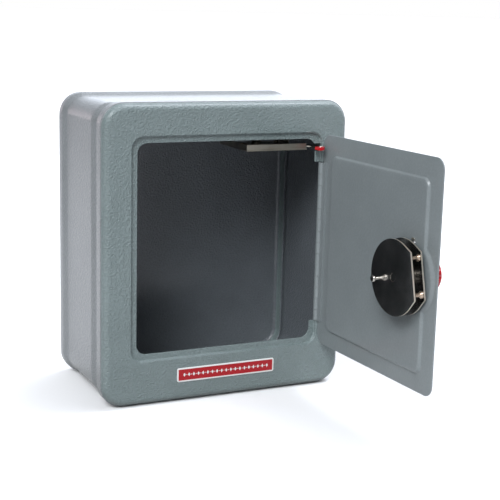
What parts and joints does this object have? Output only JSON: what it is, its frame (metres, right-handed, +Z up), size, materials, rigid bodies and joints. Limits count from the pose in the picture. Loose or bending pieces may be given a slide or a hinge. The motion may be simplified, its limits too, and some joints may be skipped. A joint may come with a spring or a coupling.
{
  "type": "donation box",
  "caption": "Small pressed-steel safe used as a donation box, with a hinged door, a dial lock with tie-posted lock plates, a door alarm under the top and a slot for coins.",
  "frame": {"origin": "on the underside of the front rim, midway across, on the plane the box rests on", "axes": "+X to the right seen from the front, +Y from the front face to the back, +Z up"},
  "size_m": [0.1704, 0.2222, 0.191],
  "materials": {
    "steel_paint": "grey-green hammered enamel, satin",
    "door_paint": "grey-green enamel, satin",
    "nickel": "bright nickel plate",
    "mirror_nickel": "polished nickel",
    "red_plastic": "gloss moulded red",
    "label": "red and white printed label, semi-gloss",
    "brass": "plain brass"
  },
  "bodies": {
    "case": {"body_wrap": "steel_paint", "front_frame": "steel_paint", "rear_cover": "steel_paint", "label_plate": "label", "lock_keeper": "nickel", "hinge_frame_leaf": "door_paint", "hinge_pin": "nickel", "alarm_tray": "nickel", "gong": "brass", "gong_post": "nickel", "hammer_pin": "nickel", "hammer_spring": "nickel"},
    "door": {"door_panel": "door_paint", "hinge_door_leaf": "door_paint", "dial_bush": "brass", "spring_washer": "nickel", "index_pointer": "nickel"},
    "lock": {"dial_plate": "red_plastic", "dial_knob": "red_plastic", "knob_screw": "nickel", "dial_spindle": "nickel", "outer_lock_plate": "mirror_nickel", "inner_lock_plate": "mirror_nickel", "plate_spacers": "nickel", "lock_posts": "nickel", "drive_stud": "nickel"},
    "trigger": {"trigger_slide": "nickel", "trigger_tip": "red_plastic", "tip_rivet": "nickel"},
    "hammer": {"hammer": "nickel"}
  },
  "joints": [
    {"name": "door_hinge", "type": "hinge", "parent": "case", "child": "door", "pos_m": [0.0658, -0.0063, 0.09785], "axis": [0, 0, 1], "range_deg": [-92, 10]},
    {"name": "dial_turn", "type": "hinge", "parent": "door", "child": "lock", "pos_m": [0.06761, -0.1098, 0.0973], "axis": [0.9994, 0.0349, 0], "continuous": true},
    {"name": "trigger_push", "type": "slide", "parent": "case", "child": "trigger", "axis": [0, 1, 0], "range_m": [-0.0011, 0.0099]},
    {"name": "hammer_swing", "type": "hinge", "parent": "case", "child": "hammer", "pos_m": [0.05, 0.0295, 0.1705], "axis": [0, 0, 1], "range_deg": [0, 20], "stiffness_Nm_per_rad": 0.002}
  ],
  "couplings": [
    {"joint": "trigger_push", "follows": "door_hinge", "m_per_rad": -0.0061032}
  ]
}
